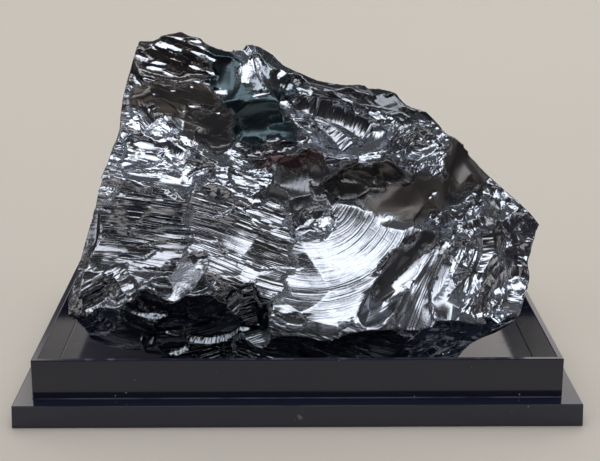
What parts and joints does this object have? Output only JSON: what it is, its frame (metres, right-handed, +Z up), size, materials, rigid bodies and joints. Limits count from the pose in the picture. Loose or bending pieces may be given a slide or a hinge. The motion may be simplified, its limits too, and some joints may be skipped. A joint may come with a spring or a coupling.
{
  "type": "silicon chunk",
  "caption": "Broken lump of metallic silicon with bright conchoidal fracture faces, standing in the open black tray of a display box.",
  "frame": {"origin": "centre of the tray's flat underside", "axes": "+X to the right along the tray's long side, +Y to the back, away from the face on show, +Z up"},
  "size_m": [0.1284, 0.0964, 0.0825],
  "materials": {
    "silicon": "metallic grey fracture faces, mirror-bright where freshly broken",
    "black_plastic": "moulded black polystyrene, glossy"
  },
  "bodies": {
    "root": {"silicon_chunk": "silicon", "display_tray": "black_plastic"}
  },
  "joints": []
}
